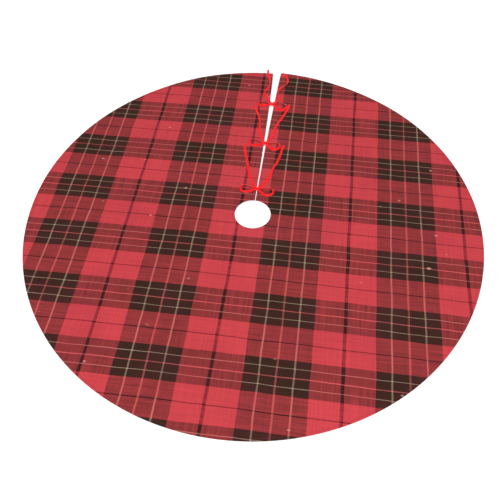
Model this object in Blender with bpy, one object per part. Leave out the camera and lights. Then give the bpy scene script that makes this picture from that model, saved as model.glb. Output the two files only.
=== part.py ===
# Round plaid tree skirt with a trunk hole and a slit that three ribbon bows hold together.
# The origin is the centre of the trunk hole, on the floor. +Y runs along the slit to its open end.
# The skirt folds in half along the Y axis, so the face, the lining and the edge stitching are each
# two halves that meet there.

from math import asin, cos, pi, radians, sin, sqrt

import bmesh
import bpy
from mathutils import Vector

# Skirt, in metres.
SKIRT_RADIUS = 0.6096
HOLE_RADIUS = 0.0490
LINING_THICKNESS = 0.0008
FACE_THICKNESS = 0.0008
LINING_SETBACK = 0.001
GAP = 0.0003
RIM_STEPS = 88
HOLE_STEPS = 24
SLIT_STEPS = 12

# The slit is narrow at the trunk hole, widens steadily, and flares past the last bow.
SLIT_HALF_WIDTH = 0.0011
SLIT_TAPER = 0.0045
SLIT_FLARE = 0.0077

# Edge stitching.
STITCH_INSET = 0.006
STITCH_RADIUS = 0.0002

# Ribbon ties: where each bow's knot lies along the slit, and the ribbon's section.
KNOT_Y = {"inner": 0.089, "middle": 0.272, "outer": 0.451}
RIBBON_WIDTH = 0.0064
RIBBON_THICKNESS = 0.0008
RIBBON_STEP = 0.005
KNOT_RADII = (0.0042, 0.0048, 0.00265)
LEAD_OVERLAP = 0.009
TACK_FROM_EDGE = 0.0065
TACK_SIZE = (0.0016, 0.005, 0.0003)

# Heights of the layers above the floor.
FACE_Z = LINING_THICKNESS + GAP
FACE_TOP = FACE_Z + FACE_THICKNESS
STITCH_Z = FACE_TOP + GAP + STITCH_RADIUS
RIBBON_Z = FACE_TOP + GAP + 2 * STITCH_RADIUS + GAP + RIBBON_THICKNESS / 2
TACK_Z = RIBBON_Z + RIBBON_THICKNESS / 2 + GAP + TACK_SIZE[2] / 2
KNOT_Z = RIBBON_Z - RIBBON_THICKNESS / 2 + KNOT_RADII[2]

# Each tie's route as (x, y, rise, lean): the loop leaves the knot along its lower strand and comes back
# along its upper one, and the tail runs on from the knot towards the rim. Rise is the height above
# where the ribbon would rest on the face. Lean is in degrees, and a positive lean lifts the ribbon's
# left edge, seen along its route.
LOOPS = {
    ("inner", "left"): [
        (-0.0015, 0.0885, 0.0019, 0), (-0.0075, 0.0860, 0.0021, -8), (-0.0140, 0.0820, 0.0010, -28),
        (-0.0210, 0.0775, 0.0004, -40), (-0.0290, 0.0745, 0.0003, -42), (-0.0370, 0.0750, 0.0003, -42),
        (-0.0430, 0.0785, 0.0003, -42), (-0.0465, 0.0845, 0.0003, -42), (-0.0470, 0.0910, 0.0003, -46),
        (-0.0440, 0.0970, 0.0003, -50), (-0.0380, 0.1005, 0.0003, -52), (-0.0290, 0.1000, 0.0003, -52),
        (-0.0200, 0.0970, 0.0006, -44), (-0.0110, 0.0935, 0.0024, -20), (-0.0020, 0.0900, 0.0033, 0),
    ],
    ("inner", "right"): [
        (0.0015, 0.0880, 0.0019, 0), (0.0075, 0.0835, 0.0021, 8), (0.0130, 0.0772, 0.0010, 28),
        (0.0190, 0.0722, 0.0004, 40), (0.0265, 0.0688, 0.0003, 42), (0.0335, 0.0692, 0.0003, 42),
        (0.0400, 0.0722, 0.0003, 42), (0.0450, 0.0772, 0.0003, 42), (0.0468, 0.0832, 0.0003, 42),
        (0.0458, 0.0902, 0.0003, 46), (0.0420, 0.0952, 0.0003, 50), (0.0345, 0.0972, 0.0003, 52),
        (0.0238, 0.0962, 0.0004, 48), (0.0130, 0.0940, 0.0022, 24), (0.0020, 0.0900, 0.0033, 0),
    ],
    ("middle", "left"): [
        (-0.0015, 0.2712, 0.0019, 0), (-0.0095, 0.2682, 0.0021, -8), (-0.0170, 0.2650, 0.0010, -28),
        (-0.0240, 0.2612, 0.0004, -40), (-0.0310, 0.2586, 0.0003, -42), (-0.0380, 0.2602, 0.0003, -42),
        (-0.0435, 0.2644, 0.0003, -42), (-0.0470, 0.2705, 0.0003, -42), (-0.0476, 0.2780, 0.0003, -46),
        (-0.0440, 0.2840, 0.0003, -50), (-0.0370, 0.2862, 0.0003, -52), (-0.0270, 0.2845, 0.0004, -50),
        (-0.0165, 0.2800, 0.0007, -40), (-0.0090, 0.2763, 0.0024, -18), (-0.0020, 0.2733, 0.0033, 0),
    ],
    ("middle", "right"): [
        (0.0015, 0.2710, 0.0019, 0), (0.0070, 0.2660, 0.0021, 8), (0.0130, 0.2585, 0.0010, 28),
        (0.0200, 0.2522, 0.0004, 40), (0.0280, 0.2490, 0.0003, 42), (0.0360, 0.2503, 0.0003, 42),
        (0.0420, 0.2550, 0.0003, 42), (0.0452, 0.2622, 0.0003, 42), (0.0445, 0.2705, 0.0003, 46),
        (0.0400, 0.2772, 0.0003, 50), (0.0315, 0.2795, 0.0003, 52), (0.0205, 0.2778, 0.0005, 46),
        (0.0110, 0.2752, 0.0023, 22), (0.0020, 0.2733, 0.0033, 0),
    ],
    ("outer", "left"): [
        (-0.0015, 0.4502, 0.0019, 0), (-0.0100, 0.4465, 0.0021, -8), (-0.0170, 0.4432, 0.0011, -26),
        (-0.0240, 0.4415, 0.0006, -34), (-0.0320, 0.4415, 0.0005, -38), (-0.0390, 0.4440, 0.0003, -42),
        (-0.0435, 0.4485, 0.0003, -42), (-0.0445, 0.4540, 0.0003, -42), (-0.0405, 0.4585, 0.0003, -48),
        (-0.0330, 0.4602, 0.0003, -52), (-0.0240, 0.4592, 0.0004, -50), (-0.0155, 0.4567, 0.0008, -38),
        (-0.0090, 0.4545, 0.0024, -18), (-0.0020, 0.4522, 0.0033, 0),
    ],
    ("outer", "right"): [
        (0.0015, 0.4498, 0.0019, 0), (0.0080, 0.4455, 0.0021, 8), (0.0135, 0.4402, 0.0011, 26),
        (0.0195, 0.4342, 0.0005, 38), (0.0255, 0.4286, 0.0003, 42), (0.0320, 0.4262, 0.0003, 42),
        (0.0385, 0.4282, 0.0003, 42), (0.0440, 0.4330, 0.0006, 42), (0.0472, 0.4395, 0.0015, 36),
        (0.0474, 0.4475, 0.0015, 36), (0.0430, 0.4545, 0.0004, 48), (0.0350, 0.4585, 0.0003, 52),
        (0.0250, 0.4590, 0.0004, 50), (0.0150, 0.4567, 0.0008, 38), (0.0085, 0.4545, 0.0024, 18),
        (0.0020, 0.4522, 0.0033, 0),
    ],
}
TAILS = {
    ("inner", "left"): [
        (-0.0015, 0.0915, 0.0025, 0), (-0.0075, 0.1010, 0.0008, 6), (-0.0130, 0.1100, 0.0002, 0),
        (-0.0200, 0.1215, 0, -3), (-0.0275, 0.1400, 0, 4), (-0.0345, 0.1620, 0, 8),
        (-0.0405, 0.1870, 0, -4), (-0.0465, 0.2080, 0, 0), (-0.0535, 0.2320, 0, 6),
        (-0.0585, 0.2520, 0, 0), (-0.0598, 0.2630, 0, -3),
    ],
    ("inner", "right"): [
        (0.0015, 0.0915, 0.0025, 0), (0.0075, 0.0995, 0.0008, -6), (0.0125, 0.1070, 0.0002, 0),
        (0.0180, 0.1160, 0, 3), (0.0266, 0.1330, 0, 0), (0.0316, 0.1530, 0, -8),
        (0.0365, 0.1780, 0, -22), (0.0435, 0.1970, 0, 16), (0.0493, 0.2220, 0, 4),
        (0.0532, 0.2500, 0, -6), (0.0571, 0.2735, 0, 0),
    ],
    ("middle", "left"): [
        (-0.0015, 0.2745, 0.0025, 0), (-0.0060, 0.2830, 0.0008, 6), (-0.0100, 0.2900, 0.0002, 0),
        (-0.0151, 0.3000, 0, 0), (-0.0205, 0.3125, 0, -4), (-0.0242, 0.3280, 0, 0),
        (-0.0250, 0.3450, 0, 10), (-0.0262, 0.3620, 0, 42), (-0.0293, 0.3780, 0, 16),
        (-0.0363, 0.3990, 0, 0), (-0.0445, 0.4200, 0, -5), (-0.0510, 0.4330, 0, 5),
        (-0.0545, 0.4400, 0, 8),
    ],
    ("middle", "right"): [
        (0.0015, 0.2745, 0.0025, 0), (0.0060, 0.2825, 0.0008, -6), (0.0100, 0.2900, 0.0002, 0),
        (0.0151, 0.2990, 0, 0), (0.0195, 0.3080, 0, -5), (0.0214, 0.3200, 0, 0),
        (0.0218, 0.3340, 0, 0), (0.0240, 0.3500, 0, -6), (0.0308, 0.3700, 0, -18),
        (0.0387, 0.3910, 0, 12), (0.0446, 0.4090, 0, 4), (0.0505, 0.4300, 0, 0),
        (0.0545, 0.4450, 0, 0), (0.0562, 0.4560, 0, -4),
    ],
    ("outer", "left"): [
        (-0.0015, 0.4535, 0.0025, 0), (-0.0050, 0.4605, 0.0008, 6), (-0.0095, 0.4680, 0.0002, 0),
        (-0.0142, 0.4765, 0, 0), (-0.0200, 0.4845, 0.0001, 0), (-0.0258, 0.4920, 0, 20),
        (-0.0292, 0.5020, 0, 55), (-0.0285, 0.5140, 0, 36), (-0.0240, 0.5240, 0, 5),
        (-0.0195, 0.5345, 0, -8), (-0.0184, 0.5460, 0, -36), (-0.0188, 0.5600, 0, -52),
        (-0.0206, 0.5750, 0, -14), (-0.0246, 0.5900, 0, 0), (-0.0288, 0.6050, 0, 0),
        (-0.0312, 0.6170, -0.0007, 0), (-0.0320, 0.6290, -0.0021, 0),
    ],
    ("outer", "right"): [
        (0.0015, 0.4535, 0.0025, 0), (0.0060, 0.4600, 0.0008, -6), (0.0115, 0.4665, 0.0002, 0),
        (0.0164, 0.4740, 0, 0), (0.0194, 0.4830, 0, 14), (0.0180, 0.4920, 0, 36),
        (0.0150, 0.5010, 0, 52), (0.0132, 0.5110, 0, 48), (0.0135, 0.5205, 0, 18),
        (0.0160, 0.5290, 0, 0), (0.0205, 0.5355, 0, 0), (0.0260, 0.5405, 0, -18),
        (0.0315, 0.5460, 0, -36), (0.0365, 0.5530, 0, -42), (0.0396, 0.5620, 0, -26),
        (0.0402, 0.5710, 0, -8), (0.0390, 0.5800, 0, 0), (0.0362, 0.5905, 0, 4),
        (0.0330, 0.6000, 0, 0), (0.0308, 0.6085, 0, 0),
    ],
}

SIGNS = {"left": -1, "right": 1}


def clear_scene():
    for obj in list(bpy.data.objects):
        bpy.data.objects.remove(obj, do_unlink=True)


def add_collection(name):
    collection = bpy.data.collections.new(name)
    bpy.context.scene.collection.children.link(collection)
    return collection


def add_material(name, color, roughness):
    material = bpy.data.materials.new(name)
    material.use_nodes = True
    shader = material.node_tree.nodes["Principled BSDF"]
    shader.inputs["Base Color"].default_value = (*color, 1)
    shader.inputs["Roughness"].default_value = roughness
    shader.inputs["Metallic"].default_value = 0
    return material


def add_object(name, data, material, collection):
    obj = bpy.data.objects.new(name, data)
    data.materials.append(material)
    collection.objects.link(obj)
    return obj


def slit_half_width(y):
    along = (y - HOLE_RADIUS) / (SKIRT_RADIUS - HOLE_RADIUS)
    return SLIT_HALF_WIDTH + SLIT_TAPER * along + SLIT_FLARE * along**3


def arc(radius, first, last, steps):
    """Points on a circle about the origin between two angles."""
    turns = [first + (last - first) * i / steps for i in range(steps + 1)]
    return [(radius * cos(turn), radius * sin(turn)) for turn in turns]


def edge_path(inset, fold_x):
    """The right half's edge, a set distance in from it: round the rim, down the slit, round the hole."""
    rim = SKIRT_RADIUS - inset
    hole = HOLE_RADIUS + inset
    rim_x = slit_half_width(rim) + inset
    hole_x = slit_half_width(hole) + inset
    rim_y = sqrt(rim**2 - rim_x**2)
    hole_y = sqrt(hole**2 - hole_x**2)
    points = arc(rim, asin(fold_x / rim) - pi / 2, pi / 2 - asin(rim_x / rim), RIM_STEPS)
    for step in range(1, SLIT_STEPS):
        y = rim_y + (hole_y - rim_y) * step / SLIT_STEPS
        points.append((slit_half_width(y) + inset, y))
    return points + arc(hole, pi / 2 - asin(hole_x / hole), asin(fold_x / hole) - pi / 2, HOLE_STEPS)


def add_panel(name, side, inset, bottom, thickness, material, collection):
    """One flat half of a cloth layer."""
    curve = bpy.data.curves.new(name, "CURVE")
    curve.dimensions = "2D"
    curve.fill_mode = "BOTH"
    curve.extrude = thickness / 2
    outline = edge_path(inset, GAP / 2)
    spline = curve.splines.new("POLY")
    spline.points.add(len(outline) - 1)
    for point, (x, y) in zip(spline.points, outline):
        point.co = (SIGNS[side] * x, y, 0, 1)
    spline.use_cyclic_u = True
    panel = add_object(name, curve, material, collection)
    panel.location.z = bottom + thickness / 2
    return panel


def add_edge_stitching(name, side, material, collection):
    """The row of thread that runs round the rim, up the slit and round the hole of one half."""
    curve = bpy.data.curves.new(name, "CURVE")
    curve.dimensions = "3D"
    curve.bevel_depth = STITCH_RADIUS
    curve.bevel_resolution = 1
    curve.use_fill_caps = True
    path = edge_path(STITCH_INSET, GAP / 2)
    spline = curve.splines.new("POLY")
    spline.points.add(len(path) - 1)
    for point, (x, y) in zip(spline.points, path):
        point.co = (SIGNS[side] * x, y, STITCH_Z, 1)
    return add_object(name, curve, material, collection)


def smooth_route(route):
    """Points about RIBBON_STEP apart on a smooth curve through the route's own points."""
    padded = [Vector(point) for point in (route[0], *route, route[-1])]
    points = []
    for before, start, end, after in zip(padded, padded[1:], padded[2:], padded[3:]):
        steps = max(1, round((end - start).to_3d().length / RIBBON_STEP))
        for t in (step / steps for step in range(steps)):
            points.append(
                0.5 * (2 * start + (end - before) * t + (2 * before - 5 * start + 4 * end - after) * t**2
                       + (3 * start - before - 3 * end + after) * t**3)
            )
    return points + [padded[-1]]


def add_band(name, route, collection):
    """A flat length of ribbon along a route, as a hidden mesh that a tie is joined from."""
    curve = bpy.data.curves.new(name, "CURVE")
    curve.dimensions = "3D"
    curve.twist_mode = "Z_UP"
    curve.extrude = (RIBBON_WIDTH - RIBBON_THICKNESS) / 2
    curve.bevel_depth = RIBBON_THICKNESS / 2
    curve.bevel_resolution = 0
    curve.use_fill_caps = True
    points = smooth_route(route)
    spline = curve.splines.new("POLY")
    spline.points.add(len(points) - 1)
    for point, (x, y, rise, lean) in zip(spline.points, points):
        lifted = curve.extrude * abs(sin(radians(lean)))
        point.co = (x, y, RIBBON_Z + rise + lifted, 1)
        point.tilt = pi / 2 + radians(lean)
    drawn = bpy.data.objects.new(name + "_curve", curve)
    collection.objects.link(drawn)
    bpy.context.view_layer.update()
    mesh = bpy.data.meshes.new_from_object(drawn.evaluated_get(bpy.context.evaluated_depsgraph_get()))
    bpy.data.objects.remove(drawn, do_unlink=True)
    welded = bmesh.new()
    welded.from_mesh(mesh)
    bmesh.ops.remove_doubles(welded, verts=welded.verts, dist=0.00001)
    bmesh.ops.recalc_face_normals(welded, faces=welded.faces)
    welded.to_mesh(mesh)
    welded.free()
    return hide_helper(bpy.data.objects.new(name, mesh), collection)


def hide_helper(obj, collection):
    if not obj.users_collection:
        collection.objects.link(obj)
    obj.hide_render = True
    obj.display_type = "WIRE"
    return obj


def add_boolean(obj, operation, operand):
    modifier = obj.modifiers.new(operand.name, "BOOLEAN")
    modifier.operation = operation
    modifier.object = operand


def box_mesh(name, size, centre=(0, 0, 0)):
    shape = bmesh.new()
    bmesh.ops.create_cube(shape, size=1)
    bmesh.ops.scale(shape, vec=size, verts=shape.verts)
    bmesh.ops.translate(shape, vec=centre, verts=shape.verts)
    mesh = bpy.data.meshes.new(name)
    shape.to_mesh(mesh)
    shape.free()
    return mesh


def add_fold_cutter(side, collection):
    """A box over everything on the other side of the fold line, so that a tie stops short of it."""
    size = (0.2, 1.4, 0.1)
    centre_x = -SIGNS[side] * (size[0] - GAP) / 2
    mesh = box_mesh("past_fold_from_" + side, size, (centre_x, 0, 0))
    return hide_helper(bpy.data.objects.new(mesh.name, mesh), collection)


def knot_mesh(name):
    shape = bmesh.new()
    bmesh.ops.create_uvsphere(shape, u_segments=16, v_segments=8, radius=1)
    bmesh.ops.scale(shape, vec=KNOT_RADII, verts=shape.verts)
    mesh = bpy.data.meshes.new(name)
    shape.to_mesh(mesh)
    shape.free()
    return mesh


def add_tie(bow, side, past_fold, material, collection, helpers):
    """One ribbon: its sewn end, its half of the knot, its loop and its tail, as one body."""
    name = f"ribbon_tie_{bow}_{side}"
    sign = SIGNS[side]
    knot_y = KNOT_Y[bow]
    sewn_x = sign * (slit_half_width(knot_y) + LEAD_OVERLAP)
    lead = [(sewn_x, knot_y, 0, 0), (sign * 0.001, knot_y, RIBBON_THICKNESS, 0)]
    tie = add_object(name, knot_mesh(name), material, collection)
    tie.location = (0, knot_y, KNOT_Z)
    for part, route in (("lead", lead), ("loop", LOOPS[bow, side]), ("tail", TAILS[bow, side])):
        add_boolean(tie, "UNION", add_band(f"{name}_{part}", route, helpers))
    add_boolean(tie, "DIFFERENCE", past_fold)
    return tie


def add_bar_tack(bow, side, material, collection):
    """The dense row of stitches that holds a tie's end to the face beside the slit."""
    name = f"bar_tack_{bow}_{side}"
    tack = add_object(name, box_mesh(name, TACK_SIZE), material, collection)
    tack_x = slit_half_width(KNOT_Y[bow]) + TACK_FROM_EDGE
    tack.location = (SIGNS[side] * tack_x, KNOT_Y[bow], TACK_Z)
    return tack


def main():
    clear_scene()
    skirt = add_collection("tree_skirt")
    helpers = add_collection("cutters")
    for side in SIGNS:
        face = add_material("face_panel_" + side, (0.30, 0.035, 0.04), 0.9)
        lining = add_material("lining_" + side, (0.24, 0.02, 0.025), 0.9)
        thread = add_material("edge_stitching_" + side, (0.25, 0.02, 0.025), 0.7)
        add_panel("face_panel_" + side, side, 0, FACE_Z, FACE_THICKNESS, face, skirt)
        add_panel("lining_" + side, side, LINING_SETBACK, 0, LINING_THICKNESS, lining, skirt)
        add_edge_stitching("edge_stitching_" + side, side, thread, skirt)
        past_fold = add_fold_cutter(side, helpers)
        for bow in KNOT_Y:
            satin = add_material(f"ribbon_tie_{bow}_{side}", (0.9, 0.01, 0.02), 0.35)
            tack_thread = add_material(f"bar_tack_{bow}_{side}", (0.8, 0.01, 0.02), 0.6)
            add_tie(bow, side, past_fold, satin, skirt, helpers)
            add_bar_tack(bow, side, tack_thread, skirt)


main()
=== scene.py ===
from math import asin, cos, exp, hypot, pi, radians, sin

import bpy
from mathutils import Matrix, Vector, noise


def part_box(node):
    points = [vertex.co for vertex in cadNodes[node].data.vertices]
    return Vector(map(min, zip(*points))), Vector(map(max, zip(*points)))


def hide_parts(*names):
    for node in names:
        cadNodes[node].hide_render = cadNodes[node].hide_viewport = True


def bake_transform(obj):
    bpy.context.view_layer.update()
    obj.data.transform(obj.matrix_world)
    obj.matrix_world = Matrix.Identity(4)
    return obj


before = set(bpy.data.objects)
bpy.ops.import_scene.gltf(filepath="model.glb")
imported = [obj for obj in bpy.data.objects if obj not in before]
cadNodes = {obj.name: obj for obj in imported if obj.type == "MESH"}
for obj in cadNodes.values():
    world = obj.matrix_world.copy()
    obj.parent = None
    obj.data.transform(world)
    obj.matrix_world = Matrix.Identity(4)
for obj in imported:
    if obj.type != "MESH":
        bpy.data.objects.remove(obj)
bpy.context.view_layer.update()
print("frame loaded:", len(cadNodes), "parts")

# what the CAD says about the skirt, in metres
faceLow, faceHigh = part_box("face_panel_left")
skirt = {
    "radius": -faceLow.y,
    "hole": min(hypot(v.co.x, v.co.y) for v in cadNodes["face_panel_left"].data.vertices),
    "faceTop": faceHigh.z,
    "slitAtHole": 0.0011,      # half of the gap beside the trunk hole
    "slitTaper": 0.0045,       # how much it widens steadily by the rim
    "slitFlare": 0.0077,       # and how much more past the last bow
    "foldReach": 0.013,        # the cloth bends over this far either side of the fold line
    "wave": 0.0011,            # height of the soft waves the cloth lies in
    "waves": 4.3,              # about this many of them to the metre
    "ripple": 0.0004,          # and of the smaller ones between them
    "ripples": 13,
    "corner": 0.0052,          # how far the right half's corner beside the slit's mouth rides up
    "cornerFrom": 0.40,        # it starts this far from the hole's centre
    "cornerWide": 0.15,        # and dies away over this width
}
sides = {"left": -1, "right": 1}


def slitHalf(y):
    along = (y - skirt["hole"]) / (skirt["radius"] - skirt["hole"])
    return skirt["slitAtHole"] + skirt["slitTaper"] * along + skirt["slitFlare"] * max(along, 0) ** 3


def lift(x, y):  # how far the waves raise the cloth here, and everything that lies on it
    broad = noise.noise(Vector((x * skirt["waves"] + 3.1, y * skirt["waves"] - 1.7, 0.4)))
    fine = noise.noise(Vector((x * skirt["ripples"] - 5.2, y * skirt["ripples"] + 2.9, 7.3)))
    near = max(0, (y - skirt["cornerFrom"]) / (skirt["radius"] - skirt["cornerFrom"])) ** 2
    corner = skirt["corner"] * near * exp(-abs(x) / skirt["cornerWide"]) * min(1, max(0, x / 0.008 + 0.5))
    return max(0, skirt["wave"] * (0.45 + broad) + skirt["ripple"] * (0.4 + fine)) + corner


def linear(tone, alpha=1):  # "#RRGGBB" in sRGB to the linear colour the shaders want
    parts = [int(tone[i:i + 2], 16) / 255 for i in (1, 3, 5)]
    return (*[p / 12.92 if p <= 0.04045 else ((p + 0.055) / 1.055) ** 2.4 for p in parts], alpha)


def addNode(tree, kind, inputs=None, **settings):
    made = tree.nodes.new("ShaderNode" + kind)
    for name, value in settings.items():
        setattr(made, name, value)
    for socket, value in (inputs or {}).items():
        if isinstance(value, bpy.types.NodeSocket):
            tree.links.new(value, made.inputs[socket])
        else:
            made.inputs[socket].default_value = value
    return made


def newMaterial(name, **fixed):
    material = bpy.data.materials.new(name)
    material.use_nodes = True
    shader = material.node_tree.nodes["Principled BSDF"]
    for socket, value in fixed.items():
        shader.inputs[socket.replace("_", " ")].default_value = value
    return material, material.node_tree, shader


def addPiece(name, points, faces, material, places=None):
    mesh = bpy.data.meshes.new(name)
    mesh.from_pydata(points, [], faces)
    if places:
        layer = mesh.uv_layers.new(name="clothMetres")
        for loop in mesh.loops:
            layer.uv[loop.index].vector = places[loop.vertex_index]
    mesh.polygons.foreach_set("use_smooth", [True] * len(mesh.polygons))
    mesh.materials.append(material)
    mesh.update()
    piece = bpy.data.objects.new(name, mesh)
    bpy.context.scene.collection.objects.link(piece)
    return piece


def bendAtFold(piece):
    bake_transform(piece)


# camera, standing at the rim opposite the slit and a little to the right of it
view = {
    "turn": 8.366, "height": 54.493, "roll": 0.603, "away": 1.43828,
    "target": (0.00916, -0.12016, 0.0019), "lens": 39.967,
}


def placeCamera():
    turn, height, roll = radians(view["turn"]), radians(view["height"]), radians(view["roll"])
    back = Vector((sin(turn) * cos(height), -cos(turn) * cos(height), sin(height)))
    right = Vector((cos(turn), sin(turn), 0))
    up = back.cross(right)
    across = right * cos(roll) - up * sin(roll)
    upright = right * sin(roll) + up * cos(roll)
    data = bpy.data.cameras.new("camera")
    data.lens = view["lens"]
    data.sensor_width = 36
    data.clip_start, data.clip_end = 0.05, 60
    camera = bpy.data.objects.new("camera", data)
    spot = Vector(view["target"]) + back * view["away"]
    camera.matrix_world = Matrix.Translation(spot) @ Matrix((across, upright, back)).transposed().to_4x4()
    bpy.context.scene.collection.objects.link(camera)
    bpy.context.scene.camera = camera


placeCamera()

# studio: white paper sweep under a bright overcast dome, with one big soft light at the near side
studio = {
    "paper": "#F8F8F8", "sky": "#FFFFFF", "skyStrength": 0.94,
    "lamps": [
        {"name": "keyLamp", "at": (0.4, -2.5, 2.2), "size": 2.4, "power": 74},
        {"name": "fillLamp", "at": (-1.8, 1.6, 2.8), "size": 2.2, "power": 14},
    ],
}


def buildStudio():
    world = bpy.data.worlds.new("overcast")
    world.use_nodes = True
    sky = world.node_tree.nodes["Background"]
    sky.inputs["Color"].default_value = linear(studio["sky"])
    sky.inputs["Strength"].default_value = studio["skyStrength"]
    bpy.context.scene.world = world
    for lamp in studio["lamps"]:
        light = bpy.data.lights.new(lamp["name"], "AREA")
        light.shape = "DISK"
        light.size = lamp["size"]
        light.energy = lamp["power"]
        holder = bpy.data.objects.new(lamp["name"], light)
        holder.location = lamp["at"]
        holder.rotation_euler = (-Vector(lamp["at"])).to_track_quat("-Z", "Y").to_euler()
        bpy.context.scene.collection.objects.link(holder)
    paper, tree, shader = newMaterial("mattPaper", Roughness=0.95, Specular_IOR_Level=0.1)
    shader.inputs["Base Color"].default_value = linear(studio["paper"])
    grid = [(x, y, -0.0002) for y in (-12, 12) for x in (-12, 12)]
    floor = addPiece("floor", grid, [(0, 1, 3, 2)], paper)
    bpy.context.scene.view_settings.view_transform = "Standard"


buildStudio()
print("camera and studio placed")

# Cotton tartan, woven in a twill from dyed threads: where a red warp crosses a red weft the cloth is
# clear red, where red crosses black it is a dull brick, and black on black is a warm near-black.
tartan = {
    "red": "#B0393F", "black": "#321D17", "cream": "#AD9A82", "rose": "#BC5A58", "plum": "#3C0A14",
    "warpCreamTone": "#9D8C76", "warpRoseTone": "#9C524A",   # the warp's fine lines are duller and wider
    "warpRepeat": 0.2981, "warpLine": -0.0362, "weftRepeat": 0.16722, "weftLine": -0.0363,
    "warpLean": 0.0059, "weftLean": 0.0087,      # how far off square each way was cut, in metres per metre
    "warpFan": 0.022, "weftBow": 0.017, "weftDrift": 0.010,   # and how the weave fans, bows and opens out
    "warpCream": 0.0402, "weftCream": 0.0225,    # the cream lines, from the middle of the black band
    "warpWidths": (0.0074, 0.0042, 0.0048), "weftWidths": (0.0025, 0.0014, 0.0029),  # plum, cream, rose
    "warpSpread": 0.0021,      # the black warp is set wider than the red by this much at each side
    "wander": 0.006,           # the lines wander, because cloth cut by hand never lies dead straight
    "twill": 0.0048,           # real twill lines are 1 mm apart, drawn coarser so they show at all
    "twillShare": 0.11,        # how much more of the warp shows on a twill line
    "warpShows": 0.48,         # the warp's share of the surface
    "streakShare": 0.5,        # how much thick and thin yarns change that share
    "creamSinks": 0.42,        # how much of the cream yarn's share is lost where it crosses red
    "shade": 0.7,              # below 1, dark yarns darken the mix, as in the shade between light ones
    "even": 0.53, "streaky": 0.34, "blotchy": 0.24,   # brightness: the same all over, and what varies
    "madder": "#7A2A40", "madderMost": 0.09,     # uneven dye, with a trace of purple
    # slubs are real thick places in the yarn; their pale tint is a painted highlight where they catch the
    # light
    "slubHighlight": "#E9B9A6", "slubHighlightMost": 0.42,         # short fat places in the yarn that catch the light
    "ribs": 0.0004,            # depth of the relief
}


def yarnStops(direction):
    repeat = tartan[direction + "Repeat"]
    plum, cream, rose = tartan[direction + "Widths"]
    spread = tartan["warpSpread"] if direction == "warp" else 0
    creamAt = repeat / 2 - tartan[direction + "Cream"]
    edges = [
        (0, "plum"), (plum / 2, "red"), (repeat / 4 - spread, "black"),
        (creamAt - cream / 2, "cream"), (creamAt + cream / 2, "black"), (repeat / 2 - rose / 2, "rose"),
    ]
    tones = dict(tartan)
    if direction == "warp":
        tones.update(cream=tartan["warpCreamTone"], rose=tartan["warpRoseTone"])
    return [  # alpha marks the cream yarn, which is finer than the rest
        (place / (repeat / 2), [c ** tartan["shade"] for c in linear(tones[yarn], yarn == "cream")])
        for place, yarn in edges
    ]


def layTartan(tree, cloth):
    # gives back the cloth as it lies, and how far each place is across the warp and up the weft
    wander = addNode(tree, "TexNoise", {"Vector": cloth, "Scale": 11, "Detail": 4, "Roughness": 0.55})
    drift = addNode(tree, "VectorMath", {0: wander.outputs["Color"], 1: (0.5, 0.5, 0.5)},
                    operation="SUBTRACT")
    drift = addNode(tree, "VectorMath", {0: drift.outputs[0], "Scale": tartan["wander"]}, operation="SCALE")
    laid = addNode(tree, "VectorMath", {0: cloth, 1: drift.outputs[0]}, operation="ADD").outputs[0]
    split = addNode(tree, "SeparateXYZ", {0: laid})
    x, y = split.outputs["X"], split.outputs["Y"]
    fanned = addNode(tree, "Math", {0: y, 1: -tartan["warpFan"], 2: 1}, operation="MULTIPLY_ADD").outputs[0]
    leant = addNode(tree, "Math", {0: y, 1: tartan["warpLean"]}, operation="MULTIPLY").outputs[0]
    across = addNode(tree, "Math", {0: fanned, 1: x, 2: leant}, operation="MULTIPLY_ADD").outputs[0]
    slope = addNode(tree, "Math", {0: x, 1: tartan["weftBow"], 2: -tartan["weftLean"]},
                    operation="MULTIPLY_ADD").outputs[0]
    opened = addNode(tree, "Math", {0: y, 1: tartan["weftDrift"], 2: 1}, operation="MULTIPLY_ADD").outputs[0]
    up = addNode(tree, "Math", {0: opened, 1: y}, operation="MULTIPLY").outputs[0]
    up = addNode(tree, "Math", {0: slope, 1: x, 2: up}, operation="MULTIPLY_ADD").outputs[0]
    return laid, x, y, across, up


def dyeYarn(tree, direction, way, laid):
    # one direction's yarns: their colour, their streaks, where the cream one is, and how light they are
    repeat = tartan[direction + "Repeat"]
    shifted = addNode(tree, "Math", {0: way, 1: tartan[direction + "Line"]}, operation="SUBTRACT")
    folded = addNode(tree, "Math", {0: shifted.outputs[0], 1: repeat / 2}, operation="PINGPONG").outputs[0]
    share = addNode(tree, "Math", {0: folded, 1: 2 / repeat}, operation="MULTIPLY").outputs[0]
    ramp = addNode(tree, "ValToRGB", {"Fac": share})
    stops = ramp.color_ramp
    stops.interpolation = "CONSTANT"
    for number, (place, colour) in enumerate(yarnStops(direction)):
        stop = stops.elements[number] if number < 2 else stops.elements.new(place)
        stop.position = place
        stop.color = colour
    # yarns differ a little in thickness and dye, every 4 mm or so across them and 110 mm along them
    stretch = (230, 9, 1) if direction == "warp" else (9, 230, 1)
    along = addNode(tree, "VectorMath", {0: laid, 1: stretch}, operation="MULTIPLY").outputs[0]
    streak = addNode(tree, "TexNoise", {"Vector": along, "Scale": 1, "Detail": 2}).outputs["Fac"]
    light = addNode(tree, "SeparateColor", {0: ramp.outputs["Color"]}).outputs["Red"]
    return ramp.outputs["Color"], streak, ramp.outputs["Alpha"], light


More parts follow.
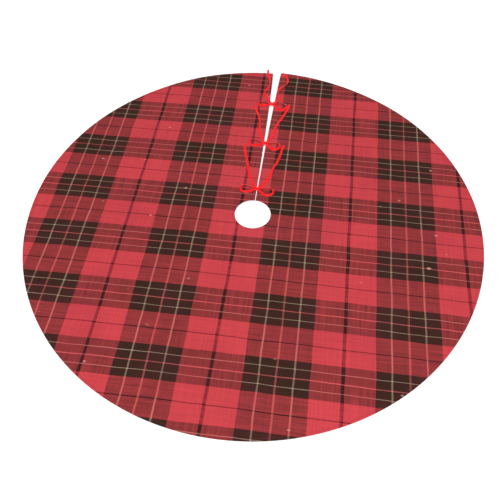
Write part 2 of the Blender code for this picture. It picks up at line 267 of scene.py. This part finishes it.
def wovenTartanCotton():
    material, tree, shader = newMaterial("wovenTartanCotton", Roughness=0.9, Specular_IOR_Level=0.07)
    cloth = addNode(tree, "UVMap", uv_map="clothMetres").outputs["UV"]
    laid, x, y, across, up = layTartan(tree, cloth)
    warp, warpStreak, warpCream, warpLight = dyeYarn(tree, "warp", across, laid)
    weft, weftStreak, weftCream, weftLight = dyeYarn(tree, "weft", up, laid)
    diagonal = addNode(tree, "Math", {0: x, 1: y}, operation="ADD").outputs[0]
    turn = addNode(tree, "Math", {0: diagonal, 1: 2 * pi / tartan["twill"]}, operation="MULTIPLY").outputs[0]
    twill = addNode(tree, "Math", {0: turn}, operation="SINE").outputs[0]
    tilt = addNode(tree, "Math", {0: warpStreak, 1: weftStreak}, operation="SUBTRACT").outputs[0]
    shows = addNode(tree, "Math", {0: twill, 1: tartan["twillShare"], 2: tartan["warpShows"]},
                    operation="MULTIPLY_ADD").outputs[0]
    shows = addNode(tree, "Math", {0: tilt, 1: tartan["streakShare"], 2: shows},
                    operation="MULTIPLY_ADD").outputs[0]
    # the fine cream yarn sinks between thick red ones, and stands clear only where it crosses black
    sinks = tartan["creamSinks"]
    for cream, crossed, sink in ((warpCream, weftLight, -sinks), (weftCream, warpLight, sinks)):
        sunk = addNode(tree, "Math", {0: cream, 1: crossed}, operation="MULTIPLY").outputs[0]
        shows = addNode(tree, "Math", {0: sunk, 1: sink, 2: shows}, operation="MULTIPLY_ADD",
                        use_clamp=True).outputs[0]
    colour = addNode(tree, "Mix", {"Factor": shows, 6: weft, 7: warp}, data_type="RGBA").outputs[2]
    colour = addNode(tree, "Gamma", {"Color": colour, "Gamma": 1 / tartan["shade"]}).outputs[0]
    # the streaks again as light and dark, and uneven dye over a hand's breadth
    blot = addNode(tree, "TexNoise", {"Vector": cloth, "Scale": 5, "Detail": 3}).outputs["Fac"]
    shade = addNode(tree, "Math", {0: warpStreak, 1: weftStreak}, operation="ADD").outputs[0]
    shade = addNode(tree, "Math", {0: shade, 1: tartan["streaky"], 2: tartan["even"]},
                    operation="MULTIPLY_ADD").outputs[0]
    shade = addNode(tree, "Math", {0: blot, 1: tartan["blotchy"], 2: shade},
                    operation="MULTIPLY_ADD").outputs[0]
    colour = addNode(tree, "VectorMath", {0: colour, "Scale": shade}, operation="SCALE").outputs[0]
    # painted highlight: pale flecks on the slubs, mixed into the colour
    slubHighlightPlace = addNode(tree, "VectorMath", {0: laid, 1: (42, 64, 1)}, operation="MULTIPLY").outputs[0]
    flaws = [  # where it lies, the noise level where it starts and where it is full, most of it, its tint
        ({"Vector": cloth, "Scale": 7.3, "Detail": 2}, 0.45, 0.7, tartan["madderMost"], tartan["madder"]),
        ({"Vector": slubHighlightPlace, "Scale": 1, "Detail": 0}, 0.835, 0.90, tartan["slubHighlightMost"], tartan["slubHighlight"]),
    ]
    for place, starts, full, most, tint in flaws:
        flaw = addNode(tree, "TexNoise", place).outputs["Fac"]
        reach = {"Value": flaw, "From Min": starts, "From Max": full, "To Max": most}
        flaw = addNode(tree, "MapRange", reach)
        colour = addNode(tree, "Mix", {"Factor": flaw.outputs[0], 6: colour, 7: linear(tint)},
                         data_type="RGBA").outputs[2]
    tree.links.new(colour, shader.inputs["Base Color"])
    # relief: twill ribs and the yarns' own roundness
    ribs = addNode(tree, "Math", {0: twill, 1: 0.5, 2: shade}, operation="MULTIPLY_ADD").outputs[0]
    bump = addNode(tree, "Bump", {"Height": ribs, "Strength": 0.35, "Distance": tartan["ribs"]})
    tree.links.new(bump.outputs[0], shader.inputs["Normal"])
    return material


# Polyester cotton in a plain weave, dyed in the piece: flat matt red, with a fine grid close up painted in as
# shade where the threads pass over and under each other
plainWeave = {
    "dark": "#741A20", "light": "#A62C33",
    "thread": 0.0036,          # two threads, which are 0.3 mm each, drawn coarser so that they show
    "streaky": 2.6, "blotchy": 0.3, "gridShade": 0.14, "depth": 0.0003,
}


def plainWeaveLining():
    material, tree, shader = newMaterial("plainWeaveLining", Roughness=0.85, Specular_IOR_Level=0.2)
    cloth = addNode(tree, "UVMap", uv_map="clothMetres").outputs["UV"]
    split = addNode(tree, "SeparateXYZ", {0: cloth})
    waves, streaks = [], []
    for axis in ("X", "Y"):
        turn = addNode(tree, "Math", {0: split.outputs[axis], 1: 2 * pi / plainWeave["thread"]},
                       operation="MULTIPLY").outputs[0]
        waves.append(addNode(tree, "Math", {0: turn}, operation="SINE").outputs[0])
    grid = addNode(tree, "Math", {0: waves[0], 1: waves[1]}, operation="MULTIPLY").outputs[0]
    for stretch in ((8, 260, 1), (260, 8, 1)):  # thick and thin threads each way
        along = addNode(tree, "VectorMath", {0: cloth, 1: stretch}, operation="MULTIPLY").outputs[0]
        streaks.append(addNode(tree, "TexNoise", {"Vector": along, "Scale": 1, "Detail": 3}).outputs["Fac"])
    streak = addNode(tree, "Math", {0: streaks[0], 1: streaks[1]}, operation="MULTIPLY").outputs[0]
    blot = addNode(tree, "TexNoise", {"Vector": cloth, "Scale": 6, "Detail": 3}).outputs["Fac"]
    tone = addNode(tree, "Math", {0: streak, 1: plainWeave["streaky"], 2: -0.4},
                   operation="MULTIPLY_ADD").outputs[0]
    tone = addNode(tree, "Math", {0: blot, 1: plainWeave["blotchy"], 2: tone},
                   operation="MULTIPLY_ADD").outputs[0]
    # painted shade: the thread grid lightens and darkens the red in a checker, as light and shade fall on the
    # crossing threads
    tone = addNode(tree, "Math", {0: grid, 1: plainWeave["gridShade"], 2: tone}, operation="MULTIPLY_ADD",
                   use_clamp=True).outputs[0]
    tones = {"Factor": tone, 6: linear(plainWeave["dark"]), 7: linear(plainWeave["light"])}
    colour = addNode(tree, "Mix", tones, data_type="RGBA")
    tree.links.new(colour.outputs[2], shader.inputs["Base Color"])
    bump = addNode(tree, "Bump", {"Height": grid, "Strength": 0.3, "Distance": plainWeave["depth"]})
    tree.links.new(bump.outputs[0], shader.inputs["Normal"])
    return material


# Polyester satin: long floats lie along the ribbon, so it is bright, with a soft lengthwise sheen that is
# painted into the colour as lighter and darker streaks.
# The selvedges are firm, and painted a little paler than the floats between them as a highlight.
satinWeave = {
    # the selvedge tone is a painted highlight, paler than the ribbon's own red
    "dark": "#D4080C", "light": "#F20A0E", "selvedgeHighlight": "#FF4A58",
    "selvedgeHighlightAt": (0.0028, 0.0031),    # where it starts and where it is full, from the ribbon's middle
    "floatSheenAndRelief": (60, 1800, 1),   # noise cells per metre along and across: floats about 16 mm by 0.6 mm
    "depth": 0.0001,
}


def satinRibbon():
    material, tree, shader = newMaterial(
        "satinRibbon", Roughness=0.38, Specular_IOR_Level=0.12, Anisotropic=0.5, Sheen_Weight=0.3,
        Sheen_Roughness=0.25)
    ribbonPlace = addNode(tree, "UVMap", uv_map="clothMetres").outputs["UV"]
    split = addNode(tree, "SeparateXYZ", {0: ribbonPlace})
    fine = addNode(tree, "VectorMath", {0: ribbonPlace, 1: satinWeave["floatSheenAndRelief"]}, operation="MULTIPLY")
    # painted sheen: this noise mixes the dark and light reds into lighter and darker lengthwise streaks that
    # stand in for the satin's sheen
    floatSheenAndRelief = addNode(tree, "TexNoise", {"Vector": fine.outputs[0], "Scale": 1, "Detail": 2}).outputs["Fac"]
    tones = {"Factor": floatSheenAndRelief, 6: linear(satinWeave["dark"]), 7: linear(satinWeave["light"])}
    colour = addNode(tree, "Mix", tones, data_type="RGBA").outputs[2]
    # painted highlight: towards both edges the colour turns to the pale selvedge tone, standing in for the
    # light the edges catch
    fromMiddle = addNode(tree, "Math", {0: split.outputs["Y"]}, operation="ABSOLUTE").outputs[0]
    starts, full = satinWeave["selvedgeHighlightAt"]
    selvedgeHighlight = addNode(tree, "MapRange", {"Value": fromMiddle, "From Min": starts, "From Max": full})
    selvedgeHighlight = selvedgeHighlight.outputs[0]
    colour = addNode(tree, "Mix", {"Factor": selvedgeHighlight, 6: colour, 7: linear(satinWeave["selvedgeHighlight"])},
                     data_type="RGBA").outputs[2]
    tree.links.new(colour, shader.inputs["Base Color"])
    bump = addNode(tree, "Bump", {"Height": floatSheenAndRelief, "Strength": 0.25, "Distance": satinWeave["depth"]})
    tree.links.new(bump.outputs[0], shader.inputs["Normal"])
    return material


# Spun polyester sewing thread, twisted from two plies; the slanting bars of light and dark on them are
# painted shade and highlight on the twist
threads = {
    "slant": 35,               # degrees
    "bars": 180,               # a bar about every 1.7 mm, where real ones are 0.5 mm, so that they show
    "depth": 0.0001,
    "edge": ("#5A1418", "#8E2A30"), "tack": ("#B80E12", "#E0181C"),
}


def twistedThread(use):
    material, tree, shader = newMaterial(
        use + "Thread", Roughness=0.6, Specular_IOR_Level=0.25, Sheen_Weight=0.1)
    thread = addNode(tree, "UVMap", uv_map="clothMetres").outputs["UV"]
    slant = addNode(tree, "Mapping", {"Vector": thread, "Rotation": (0, 0, radians(threads["slant"]))})
    bars = {"Vector": slant.outputs[0], "Scale": threads["bars"], "Distortion": 0.6}
    twistShadeAndRelief = addNode(tree, "TexWave", bars).outputs["Fac"]
    dark, light = threads[use]
    # painted shade and highlight: the twist's bars mix the thread's dark and light tones
    colour = addNode(tree, "Mix", {"Factor": twistShadeAndRelief, 6: linear(dark), 7: linear(light)}, data_type="RGBA")
    tree.links.new(colour.outputs[2], shader.inputs["Base Color"])
    bump = addNode(tree, "Bump", {"Height": twistShadeAndRelief, "Strength": 0.5, "Distance": threads["depth"]})
    tree.links.new(bump.outputs[0], shader.inputs["Normal"])
    return material


tartanCloth = wovenTartanCotton()
liningCloth = plainWeaveLining()
satin = satinRibbon()
edgeThread = twistedThread("edge")
tackThread = twistedThread("tack")
print("materials mixed")

# Each cloth layer turns under at its edges and dips where it is stitched. A turn is a list of (distance in
# from the edge, height above the floor), and a groove of (distance in, depth below the flat cloth).
faceTop = skirt["faceTop"]
layers = {
    "tartan_face": {
        "turn": [(0.0010, 0.0004), (0.0002, 0.0006), (0, 0.0010), (0.0001, 0.0015),
                 (0.0003, faceTop - 0.0001), (0.0009, faceTop)],
        "groove": [(0.0035, 0), (0.0048, 0.0001), (0.0060, 0.0003), (0.0072, 0.0001), (0.0090, 0),
                   (0.0125, 0), (0.0180, 0)],
        "flat": faceTop,
        "columns": 150, "rings": 60,
    },
    "lining": {
        "turn": [(0.0016, 0.0009), (0.0012, 0.0007), (0.0011, 0.0004), (0.0014, 0.0002), (0.0020, 0.0001)],
        "groove": [(0.0036, 0), (0.0048, -0.0001), (0.0060, -0.00035), (0.0072, -0.0001), (0.0090, 0),
                   (0.0125, 0), (0.0180, 0)],
        "flat": 0.0001,
        "columns": 120, "rings": 48,
    },
}
foldColumns = (0.0155, 0.0130, 0.0108, 0.0087, 0.0067, 0.0048, 0.0031, 0.0015)  # distances from the fold line


def edgeRows(layer):  # (distance in, height), from the turned-under edge to where the cloth is flat
    flat = layer["flat"]
    return layer["turn"] + [(inset, flat - dip) for inset, dip in layer["groove"]]


def halfColumns(layer):
    # one half's columns from the slit to just short of the fold line, each a function of radius giving
    # the angle from +Y, with the height its edge row gives it
    rows = edgeRows(layer)
    columns = [(lambda r, inset=inset: asin((slitHalf(r) + inset) / r), height) for inset, height in rows]
    last = rows[-1][0]
    for step in range(1, layer["columns"]):
        share = step / layer["columns"]

        def between(r, share=share):
            first = asin((slitHalf(r) + last) / r)
            return first + (pi - asin(last / r) - first) * share

        columns.append((between, layer["flat"]))
    for away in foldColumns:
        columns.append((lambda r, away=away: pi - asin(away / r), layer["flat"]))
    return columns


def clothLayer(name, material):
    layer = layers[name]
    rows = edgeRows(layer)
    inner = [(skirt["hole"] + inset, height) for inset, height in rows]
    outer = [(skirt["radius"] - inset, height) for inset, height in reversed(rows)]
    first, last = inner[-1][0], outer[0][0]
    middle = [(first + (last - first) * i / layer["rings"], layer["flat"]) for i in range(1, layer["rings"])]
    radii = inner + middle + outer
    half = halfColumns(layer)
    foldLine = (1, lambda r: pi, layer["flat"])
    columns = [(1, *c) for c in half] + [foldLine] + [(-1, *c) for c in reversed(half)]
    points, places = [], []
    for sign, angle, columnHeight in columns:
        for radius, rowHeight in radii:
            turn = angle(radius)
            x, y = sign * radius * sin(turn), radius * cos(turn)
            # where a corner turns under both ways, the steeper turn wins
            height = max(columnHeight, rowHeight, key=lambda h: abs(h - layer["flat"]))
            points.append((x, y, height + lift(x, y)))
            places.append((x, y))
    count = len(radii)
    faces = [
        (c * count + r, (c + 1) * count + r, (c + 1) * count + r + 1, c * count + r + 1)
        for c in range(len(columns) - 1) for r in range(count - 1)
    ]
    if name == "lining":  # its right side faces the floor
        faces = [face[::-1] for face in faces]
    return addPiece(name, points, faces, material, places)


face = clothLayer("tartan_face", tartanCloth)
lining = clothLayer("lining", liningCloth)
print("cloth cut:", len(face.data.vertices), "+", len(lining.data.vertices), "points")


def tube(points, faces, places, route, radii, sideCount):
    # adds a round thread along a route, closed at both ends
    start = len(points)
    length = 0
    for number, (spot, radius) in enumerate(zip(route, radii)):
        before, after = route[max(number - 1, 0)], route[min(number + 1, len(route) - 1)]
        ahead = (after - before).normalized()
        across = ahead.cross(Vector((0, 0, 1)))
        across = across.normalized() if across.length > 0.001 else Vector((1, 0, 0))
        over = across.cross(ahead)
        length += (spot - before).length if number else 0
        for step in range(sideCount):
            turn = 2 * pi * step / sideCount
            points.append(spot + (across * cos(turn) + over * sin(turn)) * radius)
            places.append((length, radius * turn))
    for ring in range(len(route) - 1):
        for step in range(sideCount):
            here, there = start + ring * sideCount, start + (ring + 1) * sideCount
            along = (step + 1) % sideCount
            faces.append((here + step, here + along, there + along, there + step))
    faces.append(tuple(range(start, start + sideCount))[::-1])
    faces.append(tuple(range(start + (len(route) - 1) * sideCount, start + len(route) * sideCount)))


# lockstitch round the whole edge: the thread comes up, lies along the cloth and goes down again
stitching = {
    "inset": 0.0060, "pitch": 0.0040, "length": 0.0032, "thread": 0.00022, "sides": 5,
    "sink": 0.0003,            # how far the top row sinks into the face
    "under": 0.00045,          # and where the bobbin thread lies in the lining, above the floor
}


def edgeRoute(sign):
    rim, hole = skirt["radius"] - stitching["inset"], skirt["hole"] + stitching["inset"]
    rimEnd = asin((slitHalf(rim) + stitching["inset"]) / rim)
    holeEnd = asin((slitHalf(hole) + stitching["inset"]) / hole)
    route = [(rim * sin(a), rim * cos(a)) for a in (pi - (pi - rimEnd) * i / 500 for i in range(501))]
    rimY, holeY = rim * cos(rimEnd), hole * cos(holeEnd)
    slitPlaces = [rimY + (holeY - rimY) * i / 100 for i in range(1, 100)]
    route += [(slitHalf(y) + stitching["inset"], y) for y in slitPlaces]
    route += [(hole * sin(a), hole * cos(a)) for a in (holeEnd + (pi - holeEnd) * i / 60 for i in range(61))]
    return [Vector((sign * x, y)) for x, y in route]


def placesAlong(route, pitch):
    # (spot, direction) every pitch along a polyline
    found, due = [], pitch / 2
    for a, b in zip(route, route[1:]):
        size = (b - a).length
        while due <= size and size > 0:
            found.append((a + (b - a) * (due / size), (b - a).normalized()))
            due += pitch
        due -= size
    return found


def sewEdge(side, name, level, way):
    # level is where the thread goes through, and way is 1 on the face and -1 on the lining
    points, faces, places = [], [], []
    for spot, ahead in placesAlong(edgeRoute(sides[side]), stitching["pitch"]):
        route = []
        for share, rise in ((-0.5, -0.0001), (-0.3, 0.00022), (0.3, 0.00022), (0.5, -0.0001)):
            p = spot + ahead * (stitching["length"] * share)
            route.append(Vector((p.x, p.y, level + way * rise + lift(p.x, p.y))))
        thread = stitching["thread"]
        tube(points, faces, places, route, (thread * 0.6, thread, thread, thread * 0.6), stitching["sides"])
    return addPiece(name + side, points, faces, edgeThread, places)


stitches = {side: sewEdge(side, "edge_stitches_", faceTop - stitching["sink"], 1) for side in sides}
underStitches = {side: sewEdge(side, "bobbin_stitches_", stitching["under"], -1) for side in sides}
print("edges stitched")

# Ribbon ties. Each is one length of ribbon: sewn to the face beside the slit, out over the slit to the
# knot, round its loop, back through the knot and on as the tail.
ribbon = {
    "width": 0.0064, "thickness": 0.00044, "above": 0.00036, "step": 0.0016,
    "lead": 0.009,         # how far from the slit edge it is sewn down
    "knot": (0.0046, 0.0047, 0.0022),   # half sizes of the knot
    "pleats": 5, "pleat": 0.00016,      # and the pleats it is pulled into
}
# x, y, height above where the ribbon would rest, lean in degrees: a positive lean lifts the left edge
loopRoutes = {
    ("inner", "left"): [
        (-0.0015, 0.0885, 0.0019, 0), (-0.0075, 0.0860, 0.0021, -8), (-0.0140, 0.0820, 0.0010, -28),
        (-0.0210, 0.0775, 0.0004, -40), (-0.0290, 0.0745, 0.0003, -42), (-0.0370, 0.0750, 0.0003, -42),
        (-0.0430, 0.0785, 0.0003, -42), (-0.0465, 0.0845, 0.0003, -42), (-0.0470, 0.0910, 0.0003, -30),
        (-0.0440, 0.0970, 0.0003, -34), (-0.0380, 0.1005, 0.0003, -36), (-0.0290, 0.1000, 0.0003, -36),
        (-0.0200, 0.0970, 0.0006, -44), (-0.0110, 0.0935, 0.0024, -20), (-0.0020, 0.0900, 0.0033, 0),
    ],
    ("inner", "right"): [
        (0.0015, 0.0880, 0.0019, 0), (0.0075, 0.0835, 0.0021, 8), (0.0130, 0.0772, 0.0010, 28),
        (0.0190, 0.0722, 0.0004, 40), (0.0265, 0.0688, 0.0003, 42), (0.0335, 0.0692, 0.0003, 42),
        (0.0400, 0.0722, 0.0003, 42), (0.0450, 0.0772, 0.0003, 42), (0.0468, 0.0832, 0.0003, 42),
        (0.0458, 0.0902, 0.0003, 30), (0.0420, 0.0952, 0.0003, 34), (0.0345, 0.0972, 0.0003, 36),
        (0.0238, 0.0962, 0.0004, 32), (0.0130, 0.0940, 0.0022, 24), (0.0020, 0.0900, 0.0033, 0),
    ],
    ("middle", "left"): [
        (-0.0015, 0.2712, 0.0019, 0), (-0.0095, 0.2682, 0.0021, -8), (-0.0170, 0.2650, 0.0010, -28),
        (-0.0240, 0.2612, 0.0004, -40), (-0.0310, 0.2586, 0.0003, -42), (-0.0380, 0.2602, 0.0003, -42),
        (-0.0435, 0.2644, 0.0003, -42), (-0.0470, 0.2705, 0.0003, -42), (-0.0476, 0.2780, 0.0003, -30),
        (-0.0440, 0.2840, 0.0003, -34), (-0.0370, 0.2862, 0.0003, -36), (-0.0270, 0.2845, 0.0004, -34),
        (-0.0165, 0.2800, 0.0007, -40), (-0.0090, 0.2763, 0.0024, -18), (-0.0020, 0.2733, 0.0033, 0),
    ],
    ("middle", "right"): [
        (0.0015, 0.2710, 0.0019, 0), (0.0070, 0.2660, 0.0021, 8), (0.0130, 0.2585, 0.0010, 28),
        (0.0200, 0.2522, 0.0004, 40), (0.0280, 0.2490, 0.0003, 42), (0.0360, 0.2503, 0.0003, 42),
        (0.0420, 0.2550, 0.0003, 42), (0.0452, 0.2622, 0.0003, 42), (0.0445, 0.2705, 0.0003, 30),
        (0.0400, 0.2772, 0.0003, 34), (0.0315, 0.2795, 0.0003, 36), (0.0205, 0.2778, 0.0005, 30),
        (0.0110, 0.2752, 0.0023, 22), (0.0020, 0.2733, 0.0033, 0),
    ],
    ("outer", "left"): [
        (-0.0015, 0.4502, 0.0019, 0), (-0.0100, 0.4465, 0.0021, -8), (-0.0170, 0.4432, 0.0011, -26),
        (-0.0240, 0.4415, 0.0006, -34), (-0.0320, 0.4415, 0.0005, -38), (-0.0390, 0.4440, 0.0003, -42),
        (-0.0435, 0.4485, 0.0003, -42), (-0.0445, 0.4540, 0.0003, -42), (-0.0405, 0.4585, 0.0003, -32),
        (-0.0330, 0.4602, 0.0003, -36), (-0.0240, 0.4592, 0.0004, -34), (-0.0155, 0.4567, 0.0008, -38),
        (-0.0090, 0.4545, 0.0024, -18), (-0.0020, 0.4522, 0.0033, 0),
    ],
    ("outer", "right"): [
        (0.0015, 0.4498, 0.0019, 0), (0.0080, 0.4455, 0.0021, 8), (0.0135, 0.4402, 0.0011, 26),
        (0.0195, 0.4342, 0.0005, 38), (0.0255, 0.4286, 0.0003, 42), (0.0320, 0.4262, 0.0003, 42),
        (0.0385, 0.4282, 0.0003, 42), (0.0440, 0.4330, 0.0006, 42), (0.0472, 0.4395, 0.0015, 36),
        (0.0474, 0.4475, 0.0015, 36), (0.0430, 0.4545, 0.0004, 32), (0.0350, 0.4585, 0.0003, 36),
        (0.0250, 0.4590, 0.0004, 34), (0.0150, 0.4567, 0.0008, 38), (0.0085, 0.4545, 0.0024, 18),
        (0.0020, 0.4522, 0.0033, 0),
    ],
}
tailRoutes = {
    ("inner", "left"): [
        (-0.0015, 0.0915, 0.0025, 0), (-0.0075, 0.1010, 0.0008, 6), (-0.0130, 0.1100, 0.0002, 0),
        (-0.0200, 0.1215, 0, -3), (-0.0275, 0.1400, 0, 4), (-0.0345, 0.1620, 0, 8),
        (-0.0405, 0.1870, 0, -4), (-0.0465, 0.2080, 0, 0), (-0.0535, 0.2320, 0, 6),
        (-0.0585, 0.2520, 0, 0), (-0.0598, 0.2630, 0, -3),
    ],
    ("inner", "right"): [
        (0.0015, 0.0915, 0.0025, 0), (0.0075, 0.0995, 0.0008, -6), (0.0125, 0.1070, 0.0002, 0),
        (0.0180, 0.1160, 0, 3), (0.0266, 0.1330, 0, 0), (0.0316, 0.1530, 0, -8),
        (0.0365, 0.1780, 0, -22), (0.0435, 0.1970, 0, 16), (0.0493, 0.2220, 0, 4),
        (0.0532, 0.2500, 0, -6), (0.0571, 0.2735, 0, 0),
    ],
    ("middle", "left"): [
        (-0.0015, 0.2745, 0.0025, 0), (-0.0060, 0.2830, 0.0008, 6), (-0.0100, 0.2900, 0.0002, 0),
        (-0.0151, 0.3000, 0, 0), (-0.0205, 0.3125, 0, -4), (-0.0242, 0.3280, 0, 0),
        (-0.0250, 0.3450, 0, 10), (-0.0262, 0.3620, 0, 42), (-0.0293, 0.3780, 0, 16),
        (-0.0363, 0.3990, 0, 0), (-0.0445, 0.4200, 0, -5), (-0.0510, 0.4330, 0, 5),
        (-0.0545, 0.4400, 0, 8),
    ],
    ("middle", "right"): [
        (0.0015, 0.2745, 0.0025, 0), (0.0060, 0.2825, 0.0008, -6), (0.0100, 0.2900, 0.0002, 0),
        (0.0151, 0.2990, 0, 0), (0.0195, 0.3080, 0, -5), (0.0214, 0.3200, 0, 0),
        (0.0218, 0.3340, 0, 0), (0.0240, 0.3500, 0, -6), (0.0308, 0.3700, 0, -18),
        (0.0387, 0.3910, 0, 12), (0.0446, 0.4090, 0, 4), (0.0505, 0.4300, 0, 0),
        (0.0545, 0.4450, 0, 0), (0.0562, 0.4560, 0, -4),
    ],
    ("outer", "left"): [
        (-0.0015, 0.4535, 0.0025, 0), (-0.0050, 0.4605, 0.0008, 6), (-0.0095, 0.4680, 0.0002, 0),
        (-0.0142, 0.4765, 0, 0), (-0.0200, 0.4845, 0.0001, 0), (-0.0258, 0.4920, 0, 8),
        (-0.0292, 0.5020, 0, 42), (-0.0285, 0.5140, 0, 62), (-0.0240, 0.5240, 0, 14),
        (-0.0195, 0.5345, 0, -26), (-0.0184, 0.5460, 0, -50), (-0.0188, 0.5600, 0, -58),
        (-0.0206, 0.5750, 0, -14), (-0.0246, 0.5900, 0, 0), (-0.0288, 0.6050, 0, 0),
        (-0.0312, 0.6170, -0.0007, 0), (-0.0320, 0.6290, -0.0021, 0),
    ],
    ("outer", "right"): [
        (0.0015, 0.4535, 0.0025, 0), (0.0060, 0.4600, 0.0008, -6), (0.0115, 0.4665, 0.0002, 0),
        (0.0164, 0.4740, 0, 0), (0.0194, 0.4830, 0, 14), (0.0180, 0.4920, 0, 36),
        (0.0150, 0.5010, 0, 52), (0.0132, 0.5110, 0, 48), (0.0135, 0.5205, 0, 18),
        (0.0160, 0.5290, 0, 0), (0.0205, 0.5355, 0, 0), (0.0260, 0.5401, 0, -18),
        (0.0313, 0.5452, 0, -36), (0.0360, 0.5516, 0, -42), (0.0387, 0.5602, 0, -26),
        (0.0392, 0.5688, 0, -8), (0.0382, 0.5775, 0, 0), (0.0357, 0.5876, 0, 4),
        (0.0326, 0.5967, 0, 0), (0.0304, 0.6050, 0, 0),
    ],
}


def smoothRoute(route):
    padded = [Vector(p) for p in (route[0], *route, route[-1])]
    spots = []
    for before, start, end, after in zip(padded, padded[1:], padded[2:], padded[3:]):
        steps = max(1, round((end - start).to_3d().length / ribbon["step"]))
        for t in (i / steps for i in range(steps)):
            bend = 2 * before - 5 * start + 4 * end - after
            twist = 3 * start - before - 3 * end + after
            spots.append(0.5 * (2 * start + (end - before) * t + bend * t**2 + twist * t**3))
    return spots + [padded[-1]]


def layBand(points, faces, places, route, bareEnd):
    # sweeps the ribbon's flat section along a route, and gives back its centre line
    half, thin = ribbon["width"] / 2, ribbon["thickness"] / 2
    section = [(-1, 0.2), (-0.93, 1), (-0.5, 0.75), (0, 0.7), (0.5, 0.75), (0.93, 1),
               (1, 0.2), (0.93, -1), (0.5, -0.75), (0, -0.7), (-0.5, -0.75), (-0.93, -1)]
    spots = smoothRoute(route)
    line = []
    for x, y, rise, lean in spots:
        z = faceTop + ribbon["above"] + rise + half * abs(sin(radians(lean))) + lift(x, y)
        line.append(Vector((x, y, z)))
    start, length = len(points), 0
    for number, spot in enumerate(line):
        before, after = line[max(number - 1, 0)], line[min(number + 1, len(line) - 1)]
        ahead = (after - before).normalized()
        left = Vector((-ahead.y, ahead.x, 0)).normalized()
        lean = radians(spots[number][3])
        across = left * cos(lean) + Vector((0, 0, sin(lean)))
        across = (across - ahead * across.dot(ahead)).normalized()
        over = ahead.cross(across)
        length += (spot - before).length if number else 0
        slant = 0.0009 if bareEnd and number == len(line) - 1 else 0   # cut a little on the slant
        for wide, thick in section:
            points.append(spot + across * (wide * half) + over * (thick * thin) + ahead * (slant * wide))
            places.append((length, wide * half))
    count = len(section)
    for ring in range(len(line) - 1):
        for step in range(count):
            here, there = start + ring * count, start + (ring + 1) * count
            along = (step + 1) % count
            faces.append((here + step, there + step, there + along, here + along))
    faces.append(tuple(range(start, start + count)))
    faces.append(tuple(range(start + (len(line) - 1) * count, start + len(line) * count))[::-1])
    return line


def wrapKnot(bow, knotY):
    # the left ribbon's turn round the middle of the bow: a tight barrel with pleats where it is pulled in
    wide, long, tall = ribbon["knot"]
    centre = Vector((0, knotY, faceTop + 0.0001 + tall + lift(0, knotY)))
    around, acrossSteps = 28, 14
    points, faces, places = [], [], []
    for i in range(acrossSteps + 1):
        s = -1 + 2 * i / acrossSteps
        bulge = max(0.05, 1 - abs(s) ** 5) ** 0.5 * (1 - 0.10 * s * s)
        pleat = ribbon["pleat"] * cos(ribbon["pleats"] * pi * s)
        for j in range(around):
            turn = 2 * pi * j / around
            skew = 0.0006 * sin(turn) * s
            y = cos(turn) * (long * bulge + pleat)
            z = sin(turn) * (tall * bulge + pleat)
            points.append(centre + Vector((s * wide + skew, y + 0.0003 * sin(3 * s), z)))
            places.append((turn * long, s * wide * 0.65))
    for i in range(acrossSteps):
        for j in range(around):
            a, b = i * around + j, i * around + (j + 1) % around
            faces.append((a, a + around, b + around, b))
    faces.append(tuple(range(around)))
    faces.append(tuple(range(acrossSteps * around, (acrossSteps + 1) * around))[::-1])
    knot = addPiece("knot_" + bow, points, faces, satin, places)
    bendAtFold(knot)
    return knot


def tieRibbon(bow, side):
    sign = sides[side]
    tackLow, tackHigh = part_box(f"bar_tack_{bow}_{side}")
    knotY = (tackLow.y + tackHigh.y) / 2
    sewnX = sign * (slitHalf(knotY) + ribbon["lead"])
    lead = [(sewnX, knotY, 0, 0), (sewnX - sign * 0.004, knotY, 0, 0),
            (sewnX - sign * 0.008, knotY, 0.0002, 0), (sign * 0.001, knotY, 0.0008, 0)]
    points, faces, places, line = [], [], [], []
    for route, bareEnd in ((lead, False), (loopRoutes[bow, side], False), (tailRoutes[bow, side], True)):
        line += layBand(points, faces, places, route, bareEnd)
    piece = addPiece(f"ribbon_{bow}_{side}", points, faces, satin, places)
    [wrapKnot(bow, knotY)] if side == "left" else []
    return piece


# bar tack: a few millimetres of dense zigzag across the ribbon
tack = {"wide": 0.0016, "long": 0.0050, "rows": 9, "thread": 0.00017}


def sewTack(bow, side):
    low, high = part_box(f"bar_tack_{bow}_{side}")
    middle = (low + high) / 2
    route = []
    for row in range(tack["rows"] + 1):
        y = middle.y + tack["long"] * (row / tack["rows"] - 0.5)
        x = middle.x + tack["wide"] / 2 * (1 if row % 2 else -1)
        top = faceTop + ribbon["above"] + ribbon["thickness"] / 2 + lift(x, y)
        route.append(Vector((x, y, top - 0.0001)))
        if row < tack["rows"]:
            half = y + tack["long"] / tack["rows"] / 2
            route.append(Vector((middle.x, half, top + 0.00015)))
    points, faces, places = [], [], []
    tube(points, faces, places, route, [tack["thread"]] * len(route), 6)
    return addPiece(f"tack_{bow}_{side}", points, faces, tackThread, places)


for bow in ("inner", "middle", "outer"):
    for side in sides:
        tie = tieRibbon(bow, side)
        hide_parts(f"ribbon_tie_{bow}_{side}")
        bendAtFold(tie)
        bar = sewTack(bow, side)
        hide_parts(f"bar_tack_{bow}_{side}")
        bendAtFold(bar)
print("bows tied")

for side in sides:
    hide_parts("edge_stitching_" + side)
    for row in (stitches[side], underStitches[side]):
        bendAtFold(row)
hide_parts("face_panel_left", "face_panel_right")
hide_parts("lining_left", "lining_right")
bendAtFold(face)
bendAtFold(lining)
